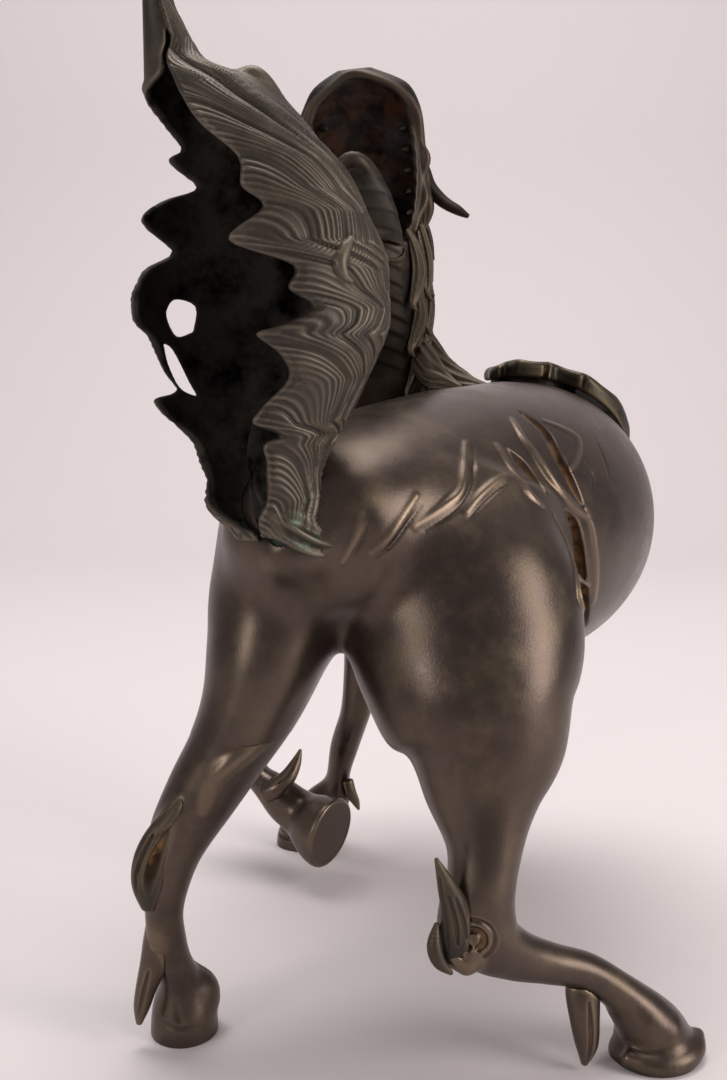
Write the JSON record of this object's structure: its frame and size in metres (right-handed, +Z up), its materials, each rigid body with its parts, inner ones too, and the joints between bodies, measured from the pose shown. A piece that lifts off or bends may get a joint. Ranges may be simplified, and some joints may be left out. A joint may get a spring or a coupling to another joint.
{
  "type": "hoofed guardian beast statue",
  "caption": "Hollow cast bronze hoofed guardian beast standing on three legs, with a tall slit flame tail, its head thrown back and a lift-off cover on its back.",
  "frame": {"origin": "under the middle of the bounding box, on the surface that the statue stands on", "axes": "+Z up, +Y towards the tail end that faces the viewer, +X towards the beast's left side"},
  "size_m": [0.2707, 0.3398, 0.4716],
  "materials": {
    "bronze": "dark waxed patina, smooth",
    "bronze_dark": "black-brown inside patina, matt",
    "bronze_olive": "matt olive-brown patina with engraved fur",
    "bronze_bright": "worn brown bronze"
  },
  "bodies": {
    "statue": {"body_front": "bronze", "body_rear": "bronze", "right_thigh": "bronze", "left_thigh": "bronze", "right_shoulder": "bronze", "left_shoulder": "bronze", "neck": "bronze", "neck_collar": "bronze_dark", "mane_right": "bronze", "mane_left": "bronze", "mane_crest": "bronze", "skull": "bronze_dark", "lower_jaw": "bronze", "tongue": "bronze_dark", "upper_teeth": "bronze_bright", "lower_teeth": "bronze_bright", "right_eye": "bronze_bright", "left_eye": "bronze_bright", "right_ear": "bronze", "left_ear": "bronze", "right_horn": "bronze_dark", "left_horn": "bronze_dark", "tail_shell": "bronze_olive", "tail_tenon": "bronze_dark", "tail_rivet": "bronze_bright", "right_hind_leg": "bronze", "left_hind_leg": "bronze", "right_foreleg": "bronze", "left_foreleg": "bronze", "right_hind_dowel": "bronze_bright", "left_hind_dowel": "bronze_bright", "right_fore_dowel": "bronze_bright", "left_fore_dowel": "bronze_bright", "right_hock_flame": "bronze_olive", "left_hock_flame": "bronze_olive", "right_hind_spur": "bronze", "left_hind_spur": "bronze", "right_fore_spur": "bronze", "left_fore_spur": "bronze"},
    "cover": {"back_cover": "bronze_olive", "cover_plug": "bronze_dark"}
  },
  "joints": [
    {"name": "cover_lift", "type": "slide", "parent": "statue", "child": "cover", "axis": [0, 0, 1], "range_m": [0, 0.2]}
  ]
}
